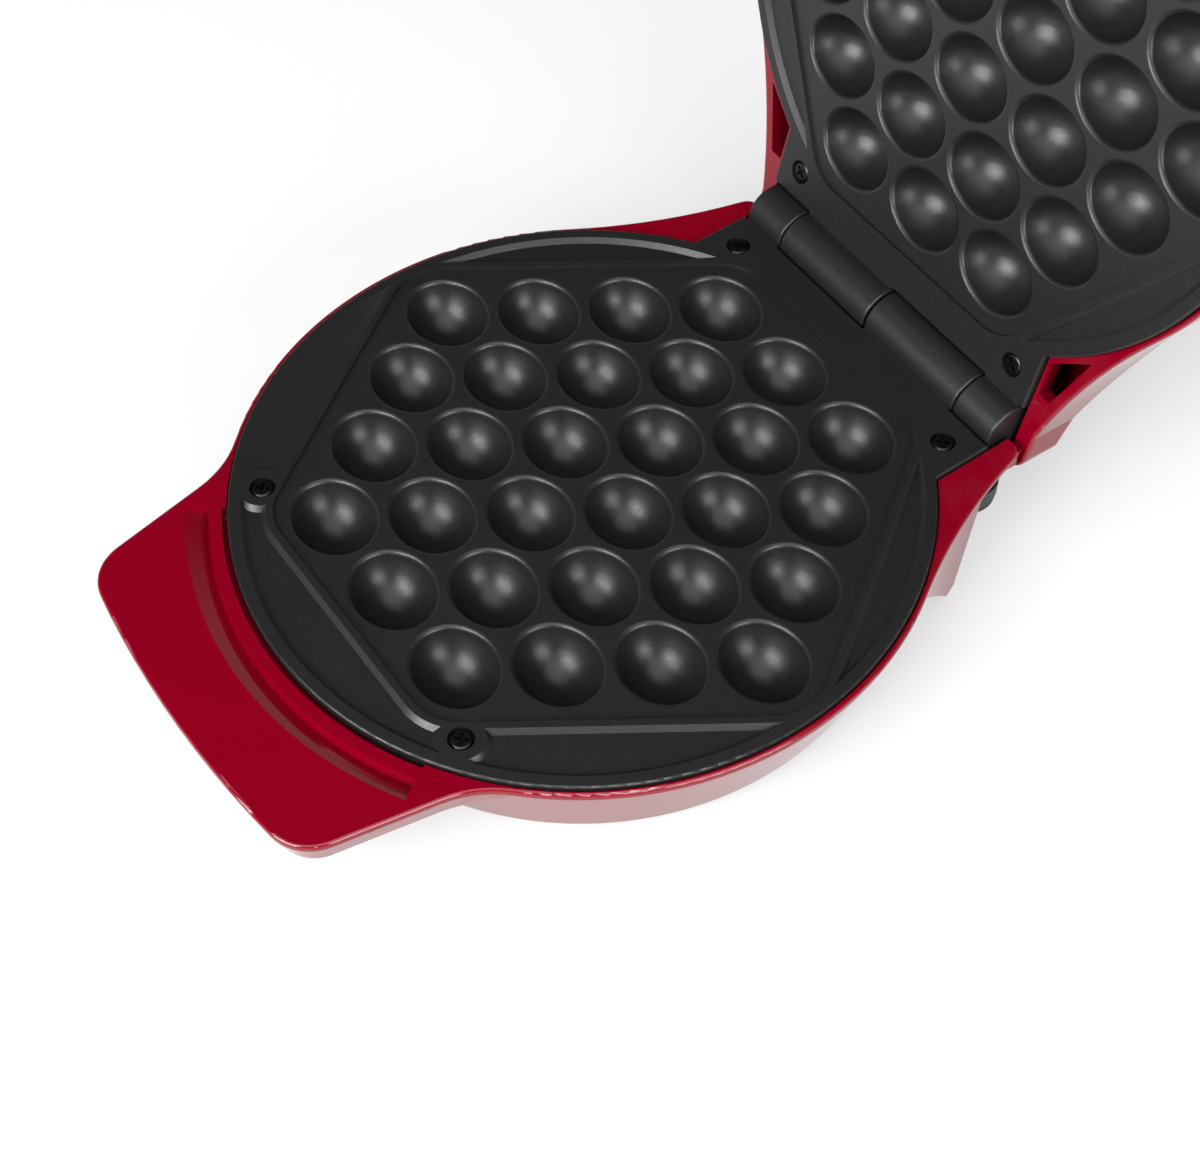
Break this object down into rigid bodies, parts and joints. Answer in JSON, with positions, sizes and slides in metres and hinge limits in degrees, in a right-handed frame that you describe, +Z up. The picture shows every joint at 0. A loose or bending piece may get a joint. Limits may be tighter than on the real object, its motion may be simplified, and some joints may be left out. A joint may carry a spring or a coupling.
{
  "type": "bubble waffle maker",
  "caption": "Round tabletop bubble waffle iron, open: two hinged cast plates with egg-shaped hollows in red shells, each with a broad flared grip.",
  "frame": {"origin": "on the table, under the middle of the open object's footprint, at the feet's lowest face", "axes": "+X along the hinge to the right as seen from the grips, +Y from the base's grip toward the hinge, +Z up"},
  "size_m": [0.2026, 0.3233, 0.2687],
  "materials": {
    "red_shell": "glossy moulded red",
    "nonstick_casting": "cast aluminium with a satin black non-stick coat",
    "black_plastic": "satin black moulding",
    "rubber_foot": "matt black rubber",
    "black_screw": "blackened steel",
    "bright_steel": "zinc plated steel",
    "aluminium_sheet": "mill finish sheet",
    "element_sheath": "heat-tinted stainless tube",
    "bakelite": "brown phenolic",
    "ceramic": "unglazed white ceramic",
    "fibreglass_sleeve": "braided heatproof sleeve",
    "lamp_glass": "small neon lamp",
    "red_lens": "clear red lens",
    "green_lens": "clear green lens"
  },
  "bodies": {
    "base": {"base_housing": "red_shell", "base_bottom_cover": "black_plastic", "front_feet": "rubber_foot", "rear_feet": "rubber_foot", "base_cooking_plate": "nonstick_casting", "cable_gland": "black_plastic", "hinge_pin": "bright_steel", "base_plate_screws": "black_screw", "base_heating_element": "element_sheath", "base_element_clamps": "bright_steel", "base_clamp_screws": "bright_steel", "base_heat_shield": "aluminium_sheet", "base_shield_screws": "bright_steel", "thermostat": "bakelite", "terminal_block": "ceramic", "base_thermal_fuse": "fibreglass_sleeve", "base_wiring": "fibreglass_sleeve", "cable_gland_nut": "black_plastic", "bottom_cover_screws": "black_screw"},
    "lid": {"lid_housing": "red_shell", "lid_cooking_plate": "nonstick_casting", "power_lens": "red_lens", "ready_lens": "green_lens", "lid_plate_screws": "black_screw", "lid_heating_element": "element_sheath", "lid_element_clamps": "bright_steel", "lid_clamp_screws": "bright_steel", "lid_heat_shield": "aluminium_sheet", "lid_shield_screws": "bright_steel", "lid_thermal_fuse": "fibreglass_sleeve", "lid_wiring": "fibreglass_sleeve", "indicator_lamps": "lamp_glass", "lamp_holder": "black_plastic"}
  },
  "joints": [
    {"name": "lid_hinge", "type": "hinge", "parent": "base", "child": "lid", "pos_m": [0, 0.07995, 0.035], "axis": [1, 0, 0], "range_deg": [0, 103.7]}
  ]
}
